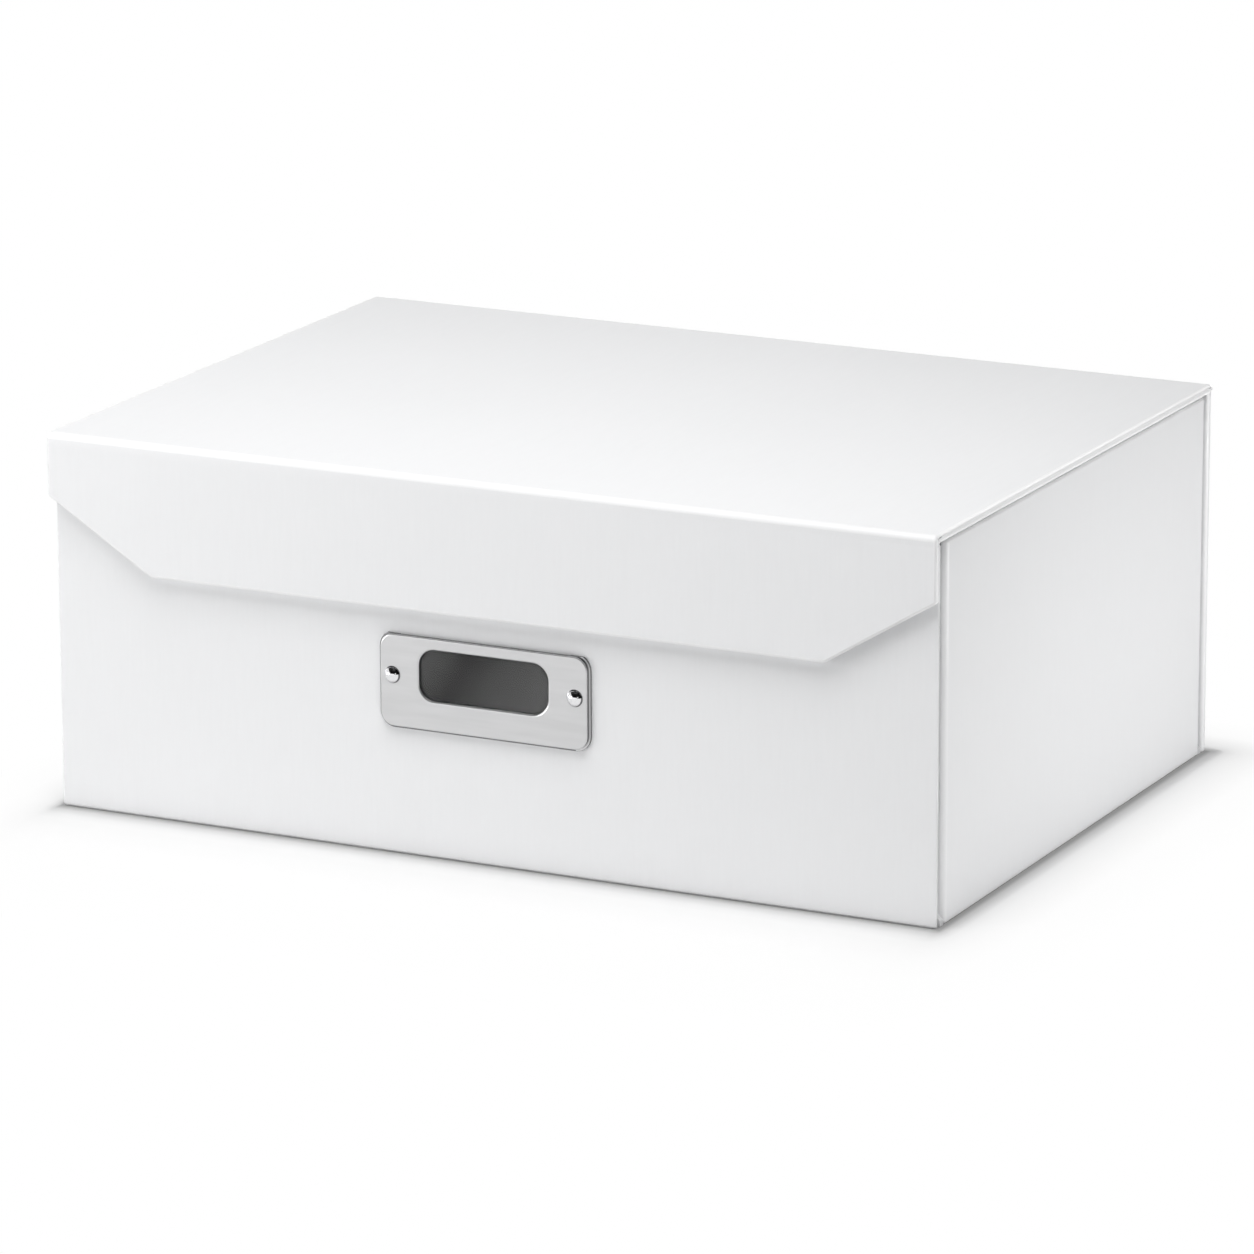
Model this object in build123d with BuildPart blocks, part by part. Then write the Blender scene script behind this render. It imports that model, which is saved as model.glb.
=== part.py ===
"""Document box: a paper-covered board box with a hinged lid, a front flap and a riveted label frame.

Millimetres, +Z up. The origin is the middle of the footprint on the table, the front looks along -Y.
"""
import os
from math import sqrt

from build123d import *

# Overall sizes, over the lid and the flap
box_width = 340.0
box_depth = 244.0
box_height = 137.0

# Board and paper
paper = 0.4
board_thickness = 2.4
panel_thickness = board_thickness + 2 * paper
edge_round = 1.2
turn_in = 6.0

# How the panels stand to each other
lid_overhang = 0.6
lid_gap = 0.6
side_inset = 0.3
groove_width = 3.0
groove_depth = 1.2
groove_foot = 2.4
groove_foot_inset = 0.3
groove_head = 1.8

# Flap, paper hinges and the mitred corners under them
flap_gap = 1.2
flap_drop = 48.2
flap_side_drop = 23.0
flap_cut_width = 41.0
hinge_round = 2.6
hinge_reach = 4.0
crease_gap = 0.1
mitre_gap = 0.3

# Magnets in the flap and the steel discs that they pull on
magnet_diameter = 12.0
magnet_thickness = 1.5
strike_diameter = 14.0
strike_thickness = 0.8
magnet_cut_inset = 19.0
magnet_lift = 12.0

# Label frame, its rivets, film and card
frame_width = 81.0
frame_height = 34.4
frame_corner = 4.0
frame_depth = 2.2
frame_sheet = 0.6
frame_edge_round = 0.5
frame_flap_gap = 8.7
window_width = 49.6
window_height = 18.0
window_corner = 6.0
window_lift = 3.2
window_rim_depth = 1.1
rivet_spacing = 70.2
rivet_lift = 1.9
rivet_head_diameter = 6.2
rivet_head_height = 2.0
rivet_shank_diameter = 2.8
rivet_tail_diameter = 4.4
rivet_tail_thickness = 0.5
rivet_clearance = 0.05
collar_wall = 0.7
washer_diameter = 7.0
washer_thickness = 0.5
film_thickness = 0.2
film_margin = 2.5
card_thickness = 0.3
card_clearance = 0.3
card_top_margin = 1.5

# Places that follow from the sizes above
flap_face_y = -box_depth / 2
front_face_y = flap_face_y + panel_thickness + flap_gap
back_face_y = box_depth / 2
front_inside_y = front_face_y + panel_thickness
back_inside_y = back_face_y - panel_thickness
body_width = box_width - 2 * lid_overhang
side_face_x = body_width / 2 - side_inset
side_inside_x = side_face_x - panel_thickness
wall_height = box_height - panel_thickness - lid_gap
inside_width = 2 * side_inside_x
inside_depth = back_inside_y - front_inside_y
inside_middle_y = (front_inside_y + back_inside_y) / 2
side_length = inside_depth - 2 * groove_width
lid_underside_depth = box_depth - 2 * panel_thickness
lid_underside_z = box_height - panel_thickness
flap_bottom_z = box_height - flap_drop
magnet_z = flap_bottom_z + magnet_lift
magnet_spacing = box_width - 2 * (flap_cut_width + magnet_cut_inset)
frame_middle_z = flap_bottom_z - frame_flap_gap - frame_height / 2
rivet_z = frame_middle_z + rivet_lift

# A panel's plane lies on its outer face and looks into the box
base_plane = Plane(origin=(0, inside_middle_y, 0), x_dir=(1, 0, 0), z_dir=(0, 0, 1))
front_plane = Plane(origin=(0, front_face_y, 0), x_dir=(-1, 0, 0), z_dir=(0, 1, 0))
back_plane = Plane(origin=(0, back_face_y, 0), x_dir=(1, 0, 0), z_dir=(0, -1, 0))
left_side_plane = Plane(origin=(-side_face_x, inside_middle_y, 0), x_dir=(0, 1, 0), z_dir=(1, 0, 0))
right_side_plane = Plane(origin=(side_face_x, inside_middle_y, 0), x_dir=(0, -1, 0), z_dir=(-1, 0, 0))
lid_plane = Plane(origin=(0, 0, box_height), x_dir=(1, 0, 0), z_dir=(0, 0, -1))
flap_plane = Plane(origin=(0, flap_face_y, box_height), x_dir=(-1, 0, 0), z_dir=(0, 1, 0))
label_plane = Plane(
    origin=(0, front_face_y - frame_depth, frame_middle_z), x_dir=(-1, 0, 0), z_dir=(0, 1, 0)
)

os.makedirs("parts", exist_ok=True)


def save(part, name):
    """Label one finished piece and write its file."""
    part.label = name
    export_step(part, f"parts/{name}.step")


def flat_outline(width, depth):
    """Corner points of a lying panel, about its middle."""
    across, along = width / 2, depth / 2
    return [(-across, -along), (across, -along), (across, along), (-across, along)]


def wall_outline(width, height):
    """Corner points of a standing panel, above the middle of its lower edge."""
    across = width / 2
    return [(-across, 0), (across, 0), (across, height), (-across, height)]


def flap_outline(top):
    """Corner points of the flap below the lid's top, with its lower corners cut away."""
    across = box_width / 2
    return [
        (-across, -top),
        (-across, -flap_side_drop),
        (flap_cut_width - across, -flap_drop),
        (across - flap_cut_width, -flap_drop),
        (across, -flap_side_drop),
        (across, -top),
    ]


def all_edges(edges):
    """Round a panel all over."""
    return edges


def below_top_end(edges):
    """Leave the top end as it is, where the panel meets the lid in a mitre."""
    return edges - edges.group_by(Axis.Z)[-1]


def lengthwise_edges(edges):
    """Round only the lid's left and right edges, between its two mitres."""
    return edges.filter_by(Axis.Y)


def corner_cut(outer_y, direction, hung, wall):
    """What a panel loses at a hinged corner: its mitre, and the room for the hinge's two paper layers."""
    mitre = (mitre_gap / 2 + wall) * sqrt(2)
    room = 2 * paper + (crease_gap if hung else 0)
    halfway = hinge_round - (hinge_round - room) / sqrt(2)

    def place(along, deep):
        across, down = (deep, along) if hung else (along, deep)
        return (outer_y + direction * across, box_height - down)

    with BuildPart() as cut:
        with BuildSketch(Plane.YZ.offset(-box_width / 2)):
            with BuildLine():
                Polyline(
                    place(0, 0),
                    place(mitre, 0),
                    place(mitre + panel_thickness, panel_thickness),
                    place(0, panel_thickness),
                    close=True,
                )
            make_face()
            with BuildLine():
                turn = ThreePointArc(
                    place(hinge_round, room), place(halfway, halfway), place(room, hinge_round)
                )
                Polyline(
                    turn @ 1,
                    place(room, hinge_reach),
                    place(0, hinge_reach),
                    place(0, 0),
                    place(hinge_reach, 0),
                    place(hinge_reach, room),
                    turn @ 0,
                )
            make_face()
        extrude(amount=box_width)
    return cut.part


def panel_board(plane, outline, rounded_edges, corners):
    """Greyboard core, one paper thickness inside the panel."""
    with BuildPart() as board:
        with BuildSketch(plane.offset(paper)):
            with BuildLine():
                Polyline(*outline, close=True)
            make_face()
            offset(amount=-paper)
        extrude(amount=board_thickness)
        fillet(rounded_edges(board.edges()), edge_round - paper)
        for corner in corners:
            add(corner_cut(*corner, paper), mode=Mode.SUBTRACT)
    return board.part


def panel_lining(plane, inner_outline):
    """Lining sheet on the inner face, inside the turned-in margin of the cover."""
    with BuildPart() as lining:
        with BuildSketch(plane.offset(paper + board_thickness)):
            with BuildLine():
                Polyline(*inner_outline, close=True)
            make_face()
            offset(amount=-turn_in)
        extrude(amount=paper)
    return lining.part


def panel_cover(plane, outline, inner_outline, rounded_edges, corners):
    """Cover paper over the outer face, round the edges and turned in on the inner face."""
    with BuildPart() as cover:
        with BuildSketch(plane):
            with BuildLine():
                Polyline(*outline, close=True)
            make_face()
        extrude(amount=panel_thickness)
        fillet(rounded_edges(cover.edges()), edge_round)
        for corner in corners:
            add(corner_cut(*corner, 0), mode=Mode.SUBTRACT)
        add(panel_board(plane, outline, rounded_edges, corners), mode=Mode.SUBTRACT)
        add(panel_lining(plane, inner_outline), mode=Mode.SUBTRACT)
    return cover.part


# The hinged corners: the outer face's place, the way into the box and whether the panel hangs there
lid_corners = [(flap_face_y, 1, False), (back_face_y, -1, False)]
flap_corners = [(flap_face_y, 1, True)]
back_corners = [(back_face_y, -1, True)]

# Plain panels: a core, a cover and a lining each
base_outline = flat_outline(inside_width, inside_depth)
front_outline = wall_outline(body_width, wall_height)
side_outline = wall_outline(side_length, wall_height)
back_outline = wall_outline(body_width, box_height)
back_inner_outline = wall_outline(body_width, lid_underside_z)
lid_outline = flat_outline(box_width, box_depth)
lid_inner_outline = flat_outline(box_width, lid_underside_depth)
plain_panels = {
    "base": (base_plane, base_outline, base_outline, all_edges, []),
    "back": (back_plane, back_outline, back_inner_outline, below_top_end, back_corners),
    "left_side": (left_side_plane, side_outline, side_outline, all_edges, []),
    "right_side": (right_side_plane, side_outline, side_outline, all_edges, []),
    "lid": (lid_plane, lid_outline, lid_inner_outline, lengthwise_edges, lid_corners),
}
for name, (plane, outline, inner_outline, rounded_edges, corners) in plain_panels.items():
    save(panel_board(plane, outline, rounded_edges, corners), f"{name}_board")
    save(panel_cover(plane, outline, inner_outline, rounded_edges, corners), f"{name}_cover")
    save(panel_lining(plane, inner_outline), f"{name}_lining")

# Places of the rivets and the closing discs, on planes that look into the box
rivet_plane = Plane(origin=(0, front_face_y, rivet_z), x_dir=(-1, 0, 0), z_dir=(0, 1, 0))
strike_plane = Plane(origin=(0, front_face_y + paper, magnet_z), x_dir=(-1, 0, 0), z_dir=(0, 1, 0))
magnet_face_y = flap_face_y + paper + board_thickness - magnet_thickness
magnet_plane = Plane(origin=(0, magnet_face_y, magnet_z), x_dir=(-1, 0, 0), z_dir=(0, 1, 0))
rivet_hole_radius = rivet_shank_diameter / 2 + rivet_clearance
tail_depth = paper + board_thickness - rivet_tail_thickness
washer_depth = tail_depth - washer_thickness

# Front panel: the plain panel with rivet holes, washer pockets and strike plate pockets
with BuildPart() as strike_plates:
    with BuildSketch(strike_plane):
        with GridLocations(magnet_spacing, 0, 2, 1):
            Circle(strike_diameter / 2)
    extrude(amount=strike_thickness)
save(strike_plates.part, "strike_plates")

with BuildPart() as front_board:
    add(panel_board(front_plane, front_outline, all_edges, []))
    add(strike_plates.part, mode=Mode.SUBTRACT)
    with BuildSketch(rivet_plane):
        with GridLocations(rivet_spacing, 0, 2, 1):
            Circle(rivet_hole_radius)
    extrude(amount=panel_thickness, mode=Mode.SUBTRACT)
    with BuildSketch(rivet_plane.offset(washer_depth)):
        with GridLocations(rivet_spacing, 0, 2, 1):
            Circle(washer_diameter / 2 + rivet_clearance)
    extrude(amount=panel_thickness, mode=Mode.SUBTRACT)
save(front_board.part, "front_board")

with BuildPart() as front_cover:
    add(panel_cover(front_plane, front_outline, front_outline, all_edges, []))
    with BuildSketch(rivet_plane):
        with GridLocations(rivet_spacing, 0, 2, 1):
            Circle(rivet_hole_radius)
    extrude(amount=paper, mode=Mode.SUBTRACT)
save(front_cover.part, "front_cover")
save(panel_lining(front_plane, front_outline), "front_lining")

with BuildPart() as rivet_washers:
    with BuildSketch(rivet_plane.offset(washer_depth)):
        with GridLocations(rivet_spacing, 0, 2, 1):
            Circle(washer_diameter / 2)
            Circle(rivet_hole_radius, mode=Mode.SUBTRACT)
    extrude(amount=washer_thickness)
save(rivet_washers.part, "rivet_washers")

# Upright strips that close the corner grooves, each with a foot that reaches out to the side's face
strip_depth = panel_thickness - groove_depth
strip_middle_x = side_inside_x + strip_depth / 2
foot_depth = panel_thickness - groove_foot_inset
foot_middle_x = side_inside_x + foot_depth / 2
strip_middle_y = {"front": front_inside_y + groove_width / 2, "back": back_inside_y - groove_width / 2}
for end, middle_y in strip_middle_y.items():
    for side, direction in {"left": -1, "right": 1}.items():
        with BuildPart() as corner_strip:
            with BuildSketch():
                with Locations((direction * strip_middle_x, middle_y)):
                    Rectangle(strip_depth, groove_width)
            extrude(amount=wall_height - groove_head)
            with BuildSketch():
                with Locations((direction * foot_middle_x, middle_y)):
                    Rectangle(foot_depth, groove_width)
            extrude(amount=groove_foot)
        save(corner_strip.part, f"{end}_{side}_corner_strip")

# Flap: hangs from the lid's front hinge, with two magnets in its core
with BuildPart() as flap_magnets:
    with BuildSketch(magnet_plane):
        with GridLocations(magnet_spacing, 0, 2, 1):
            Circle(magnet_diameter / 2)
    extrude(amount=magnet_thickness)
save(flap_magnets.part, "flap_magnets")

with BuildPart() as flap_board:
    add(panel_board(flap_plane, flap_outline(0), below_top_end, flap_corners))
    add(flap_magnets.part, mode=Mode.SUBTRACT)
save(flap_board.part, "flap_board")
flap_inner_outline = flap_outline(panel_thickness)
flap_cover = panel_cover(flap_plane, flap_outline(0), flap_inner_outline, below_top_end, flap_corners)
save(flap_cover, "flap_cover")
save(panel_lining(flap_plane, flap_inner_outline), "flap_lining")


def hinge_paper(outer_y, direction, layer):
    """One paper layer round a top edge: flat on the lid, a quarter turn, then flat on the hung panel."""
    outside = layer * paper
    inside = outside + paper
    hung_end = hinge_reach - crease_gap

    def place(across, down):
        return (outer_y + direction * across, box_height - down)

    with BuildPart() as strip:
        with BuildSketch(Plane.YZ.offset(-box_width / 2)):
            with BuildLine():
                outer_flat = Line(place(hinge_reach, outside), place(hinge_round, outside))
                outer_turn = RadiusArc(
                    outer_flat @ 1, place(outside, hinge_round), direction * (outside - hinge_round)
                )
                outer_drop = Line(outer_turn @ 1, place(outside, hung_end))
                bottom = Line(outer_drop @ 1, place(inside, hung_end))
                inner_drop = Line(bottom @ 1, place(inside, hinge_round))
                inner_turn = RadiusArc(
                    inner_drop @ 1, place(hinge_round, inside), direction * (hinge_round - inside)
                )
                inner_flat = Line(inner_turn @ 1, place(hinge_reach, inside))
                Line(inner_flat @ 1, outer_flat @ 0)
            make_face()
        extrude(amount=box_width)
    return strip.part


# Paper hinges of the flap and of the lid, an outer and an inner layer each
for layer, sheet in enumerate(("cover", "lining")):
    save(hinge_paper(flap_face_y, 1, layer), f"flap_hinge_{sheet}")
    save(hinge_paper(back_face_y, -1, layer), f"lid_hinge_{sheet}")

# Label frame: a stamped pan, open along its top for the card
rivet_in_frame = Plane(origin=(0, front_face_y - frame_depth, rivet_z), x_dir=(-1, 0, 0), z_dir=(0, 1, 0))
with BuildPart() as label_frame:
    with BuildSketch(label_plane):
        RectangleRounded(frame_width, frame_height, frame_corner)
    extrude(amount=frame_depth)
    fillet(label_frame.faces().sort_by(Axis.Y)[0].edges(), frame_edge_round)
    with BuildSketch(label_plane.offset(frame_sheet)):
        RectangleRounded(
            frame_width - 2 * frame_sheet, frame_height - 2 * frame_sheet, frame_corner - frame_sheet
        )
        with Locations((0, frame_height / 2 - frame_sheet)):
            Rectangle(frame_width - 2 * frame_corner, 2 * frame_sheet)
    extrude(amount=frame_depth - frame_sheet, mode=Mode.SUBTRACT)
    with BuildSketch(label_plane.offset(frame_sheet)):
        with Locations((0, window_lift)):
            RectangleRounded(
                window_width + 2 * frame_sheet, window_height + 2 * frame_sheet, window_corner + frame_sheet
            )
    extrude(amount=window_rim_depth - frame_sheet)
    with BuildSketch(rivet_in_frame.offset(frame_sheet)):
        with GridLocations(rivet_spacing, 0, 2, 1):
            Circle(rivet_hole_radius + collar_wall)
    extrude(amount=frame_depth - frame_sheet)
    with BuildSketch(label_plane):
        with Locations((0, window_lift)):
            RectangleRounded(window_width, window_height, window_corner)
    extrude(amount=window_rim_depth, mode=Mode.SUBTRACT)
    with BuildSketch(rivet_in_frame):
        with GridLocations(rivet_spacing, 0, 2, 1):
            Circle(rivet_hole_radius)
    extrude(amount=frame_depth, mode=Mode.SUBTRACT)
save(label_frame.part, "label_frame")

# Clear film behind the window, on the window's turned rim
with BuildPart() as label_window_film:
    with BuildSketch(label_plane.offset(window_rim_depth)):
        with Locations((0, window_lift)):
            RectangleRounded(
                window_width + 2 * film_margin, window_height + 2 * film_margin, window_corner + film_margin
            )
    extrude(amount=film_thickness)
save(label_window_film.part, "label_window_film")

# Label card: stands on the frame's lower edge, between the rivet collars
card_width = rivet_spacing - 2 * (rivet_hole_radius + collar_wall + card_clearance)
card_bottom = -frame_height / 2 + frame_sheet + card_clearance
card_top = frame_height / 2 - card_top_margin
with BuildPart() as label_card:
    with BuildSketch(label_plane.offset(frame_depth - card_clearance - card_thickness)):
        with Locations((0, (card_bottom + card_top) / 2)):
            Rectangle(card_width, card_top - card_bottom)
    extrude(amount=card_thickness)
save(label_card.part, "label_card")

# Rivets: a dome on the frame, a shank through the panel and a clinched tail on the washer
shank_radius = rivet_shank_diameter / 2
head_radius = rivet_head_diameter / 2
tail_radius = rivet_tail_diameter / 2
dome_radius = (head_radius**2 + rivet_head_height**2) / (2 * rivet_head_height)
frame_face_y = front_face_y - frame_depth
tail_start_y = front_face_y + tail_depth
tail_end_y = tail_start_y + rivet_tail_thickness
with BuildPart() as label_rivets:
    for middle_x in (-rivet_spacing / 2, rivet_spacing / 2):
        with BuildSketch(Plane(origin=(middle_x, 0, rivet_z))):
            with BuildLine():
                dome = RadiusArc(
                    (0, frame_face_y - rivet_head_height), (head_radius, frame_face_y), -dome_radius
                )
                Polyline(
                    dome @ 1,
                    (shank_radius, frame_face_y),
                    (shank_radius, tail_start_y),
                    (tail_radius, tail_start_y),
                    (tail_radius, tail_end_y),
                    (0, tail_end_y),
                    dome @ 0,
                )
            make_face()
        revolve(axis=Axis((middle_x, 0, rivet_z), (0, 1, 0)))
save(label_rivets.part, "label_rivets")
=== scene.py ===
import math

import bmesh
import bpy
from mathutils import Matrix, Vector


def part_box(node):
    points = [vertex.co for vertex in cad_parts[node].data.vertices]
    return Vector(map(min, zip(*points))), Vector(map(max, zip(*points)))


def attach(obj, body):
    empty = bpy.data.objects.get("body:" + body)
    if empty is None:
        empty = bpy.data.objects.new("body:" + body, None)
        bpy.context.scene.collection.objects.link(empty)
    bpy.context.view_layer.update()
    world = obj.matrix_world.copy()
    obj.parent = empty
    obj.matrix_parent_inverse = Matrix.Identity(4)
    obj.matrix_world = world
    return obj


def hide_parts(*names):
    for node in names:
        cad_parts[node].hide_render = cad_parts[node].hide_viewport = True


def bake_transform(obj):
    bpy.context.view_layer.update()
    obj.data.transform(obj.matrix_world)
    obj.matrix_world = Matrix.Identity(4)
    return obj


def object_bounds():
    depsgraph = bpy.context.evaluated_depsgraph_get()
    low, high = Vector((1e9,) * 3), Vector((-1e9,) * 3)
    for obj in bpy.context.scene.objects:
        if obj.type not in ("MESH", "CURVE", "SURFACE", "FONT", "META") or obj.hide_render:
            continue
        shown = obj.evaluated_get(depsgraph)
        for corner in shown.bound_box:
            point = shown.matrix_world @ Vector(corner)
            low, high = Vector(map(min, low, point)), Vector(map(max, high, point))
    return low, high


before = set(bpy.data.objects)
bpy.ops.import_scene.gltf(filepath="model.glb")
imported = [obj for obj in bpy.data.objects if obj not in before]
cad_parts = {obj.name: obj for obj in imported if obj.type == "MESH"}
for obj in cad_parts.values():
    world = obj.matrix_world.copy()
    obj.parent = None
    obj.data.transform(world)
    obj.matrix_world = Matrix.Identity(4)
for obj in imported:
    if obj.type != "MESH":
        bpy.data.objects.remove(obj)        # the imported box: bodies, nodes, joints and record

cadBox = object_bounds()
bpy.ops.object.select_all(action="DESELECT")
mm = 0.001
near = 0.002 * mm        # places closer than this are the same
cutLimit = 1e-7          # a cut goes through points that lie this near to it
sharp = 20               # degrees from which an edge is a corner
facing = 0.99            # how squarely a face looks one way
squarely = 0.999


# Working in edit mode

def pickObject(obj):
    bpy.ops.object.select_all(action="DESELECT")
    obj.select_set(True)
    bpy.context.view_layer.objects.active = obj


def enter(obj):
    pickObject(obj)
    bpy.ops.object.mode_set(mode="EDIT")


def leave():
    bpy.ops.object.mode_set(mode="OBJECT")


def settle(name):                # puts a new primitive's place in its mesh and opens it
    obj = bpy.context.object
    obj.name = obj.data.name = name
    bpy.ops.object.transform_apply(location=True, rotation=True, scale=True)
    bpy.ops.object.mode_set(mode="EDIT")
    return obj


def newBlock(name, low, high):
    bpy.ops.object.select_all(action="DESELECT")
    low, high = Vector(low), Vector(high)
    bpy.ops.mesh.primitive_cube_add(size=1, location=(low + high) / 2, scale=high - low)
    return settle(name)


def startPick(obj, kind):
    bpy.ops.mesh.select_mode(type=kind)
    bpy.ops.mesh.select_all(action="DESELECT")
    return bmesh.from_edit_mesh(obj.data)


def pickEdges(obj, test, bend=0):       # bend: how far the two faces at an edge turn
    mesh = startPick(obj, "EDGE")
    for edge in mesh.edges:
        turns = not bend or edge.calc_face_angle(0) > math.radians(bend)
        edge.select_set(turns and test(edge.verts[0].co, edge.verts[1].co))
    bmesh.update_edit_mesh(obj.data)


def pickFaces(obj, test, corners=False):    # by the middle, or by every corner
    mesh = startPick(obj, "FACE")
    for face in mesh.faces:
        points = [point.co for point in face.verts] if corners else [face.calc_center_bounds()]
        face.select_set(all(test(point, face.normal) for point in points))
    bmesh.update_edit_mesh(obj.data)


def pickPoints(obj, test):
    mesh = startPick(obj, "VERT")
    for point in mesh.verts:
        point.select_set(test(point.co))
    mesh.select_flush_mode()
    bmesh.update_edit_mesh(obj.data)


def pickedBox(obj):
    points = [point.co.copy() for point in bmesh.from_edit_mesh(obj.data).verts if point.select]
    low = Vector([min(point[i] for point in points) for i in range(3)])
    high = Vector([max(point[i] for point in points) for i in range(3)])
    return low, high


def always(*parts):
    return True


def same(value, place):
    return abs(value - place) < near


def onPlane(p, plane):
    return abs((p - plane[0]).dot(plane[1])) < near


def edgeAt(axis, place, sides=False):       # a test for edges that lie on one plane
    if sides:
        return lambda a, b: same(abs(a[axis]), place) and same(a[axis], b[axis])
    return lambda a, b: same(a[axis], place) and same(b[axis], place)


def roundEdges(obj, size, steps, test, bend=0):
    pickEdges(obj, test, bend)
    bpy.ops.mesh.bevel(offset=size, segments=steps, profile=0.5, affect="EDGES", clamp_overlap=False)


def cutAway(point, normal):      # the side that the normal points to goes
    bpy.ops.mesh.select_all(action="SELECT")
    bpy.ops.mesh.bisect(
        plane_co=point, plane_no=normal, use_fill=True, clear_outer=True, threshold=cutLimit
    )


def scoreAcross(obj, point, normal, test):      # a line across some faces, nothing removed
    pickFaces(obj, test)
    bpy.ops.mesh.bisect(plane_co=point, plane_no=normal, threshold=cutLimit)


def dropFaces(obj, test):
    pickFaces(obj, test)
    bpy.ops.mesh.delete(type="FACE")


def narrow(obj, share, test):    # draws some points in towards the middle of the box
    pickPoints(obj, test)
    bpy.ops.transform.resize(value=(share, 1, 1), center_override=(0, 0, 0))


def applyModifier(obj, kind, **settings):
    modifier = obj.modifiers.new(kind.title(), kind)
    for key, value in settings.items():
        setattr(modifier, key, value)
    pickObject(obj)
    bpy.ops.object.modifier_apply(modifier=modifier.name)


def combine(obj, tool, operation):
    applyModifier(obj, "BOOLEAN", object=tool, operation=operation, solver="EXACT")
    bpy.data.objects.remove(tool)


def thicken(obj, thickness):
    leave()
    applyModifier(
        obj, "SOLIDIFY", thickness=thickness, offset=-1, use_even_offset=True, use_quality_normals=True
    )


def smoothFaces(obj, angle=32):
    pickObject(obj)
    bpy.ops.object.shade_smooth_by_angle(angle=math.radians(angle))


def steadyFaces(obj):            # keeps the big faces flat beside their rounded edges
    smoothFaces(obj)
    applyModifier(obj, "WEIGHTED_NORMAL", mode="FACE_AREA", weight=50, keep_sharp=True)


def markFaces(obj, name, strength, test):      # a mark that the material reads
    marks = obj.data.attributes.new(name, "FLOAT", "FACE")
    marks.data.foreach_set("value", [strength if test(face) else 0.0 for face in obj.data.polygons])


def markPaintedHighlight(obj, strength):    # the faces that look along none of the axes, the rounded edges, get the painted highlight
    level = 0.998
    markFaces(obj, "fold", strength, lambda face: max(abs(part) for part in face.normal) < level)


def plainName(name):             # frontCover is made from front_cover
    return "".join("_" + letter.lower() if letter.isupper() else letter for letter in name)


def dress(obj, material, body=None, nodes=()):
    obj.data.materials.clear()
    obj.data.materials.append(material)
    if body:
        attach(obj, body)
    if nodes:
        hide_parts(*nodes)


# Materials

noiseSpread = (0.3, 0.7)         # most of a noise's values lie between these
mixFirst, mixSecond, mixResult = 6, 7, 2       # a Mix node's colour sockets


def setSockets(node, sockets):
    for name, value in (sockets or {}).items():
        node.inputs[name].default_value = value


def newMaterial(name, sockets=None):
    material = bpy.data.materials.new(name)
    material.use_nodes = True
    shader = material.node_tree.nodes["Principled BSDF"]
    setSockets(shader, sockets)
    return material, shader


def addNode(owner, kind, sockets=None, **settings):      # owner: a material or the world
    node = owner.node_tree.nodes.new(kind)
    for key, value in settings.items():
        setattr(node, key, value)
    setSockets(node, sockets)
    return node


def stretched(material, stretch, turn=(0, 0, 0)):
    place = addNode(material, "ShaderNodeTexCoord")
    mapping = addNode(material, "ShaderNodeMapping", {"Scale": stretch, "Rotation": turn})
    material.node_tree.links.new(place.outputs["Object"], mapping.inputs["Vector"])
    return mapping.outputs["Vector"]


def noise(material, scale, detail, stretch=(1, 1, 1), roughness=0.55):
    sockets = {"Scale": scale, "Detail": detail, "Roughness": roughness}
    texture = addNode(material, "ShaderNodeTexNoise", sockets)
    material.node_tree.links.new(stretched(material, stretch), texture.inputs["Vector"])
    return texture.outputs["Fac"]


def ramp(material, source, stops):             # stops: place and colour
    blend = addNode(material, "ShaderNodeValToRGB")
    elements = blend.color_ramp.elements
    for position, colour in stops[2:]:
        elements.new(position)
    for stop, (position, colour) in zip(elements, stops):
        stop.position = position
        stop.color = (*colour, 1)
    material.node_tree.links.new(source, blend.inputs["Fac"])
    return blend.outputs["Color"]


def twoTones(material, source, dark, pale):
    return ramp(material, source, list(zip(noiseSpread, (dark, pale))))


def greyRamp(material, source, stops):
    return ramp(material, source, [(position, (grey, grey, grey)) for position, grey in stops])


def span(material, source, reach):
    sockets = {
        "From Min": noiseSpread[0], "From Max": noiseSpread[1], "To Min": reach[0], "To Max": reach[1],
    }
    fit = addNode(material, "ShaderNodeMapRange", sockets, clamp=False)
    material.node_tree.links.new(source, fit.inputs["Value"])
    return fit.outputs["Result"]


def marked(material, colour, name, shade):     # another colour on the faces that carry a mark
    mark = addNode(material, "ShaderNodeAttribute", attribute_name=name)
    mix = addNode(material, "ShaderNodeMix", data_type="RGBA")
    mix.inputs[mixSecond].default_value = (*shade, 1)
    links = material.node_tree.links
    links.new(mark.outputs["Fac"], mix.inputs["Factor"])
    links.new(colour, mix.inputs[mixFirst])
    return mix.outputs[mixResult]


def paint(material, shader, colour, roughness):
    links = material.node_tree.links
    links.new(colour, shader.inputs["Base Color"])
    links.new(roughness, shader.inputs["Roughness"])


def relief(material, shader, layers):          # layers: pattern, height and strength
    links = material.node_tree.links
    normal = None
    for source, height, strength in layers:
        bump = addNode(material, "ShaderNodeBump", {"Distance": height, "Strength": strength})
        links.new(source, bump.inputs["Height"])
        if normal:
            links.new(normal, bump.inputs["Normal"])
        normal = bump.outputs["Normal"]
    links.new(normal, shader.inputs["Normal"])


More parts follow.
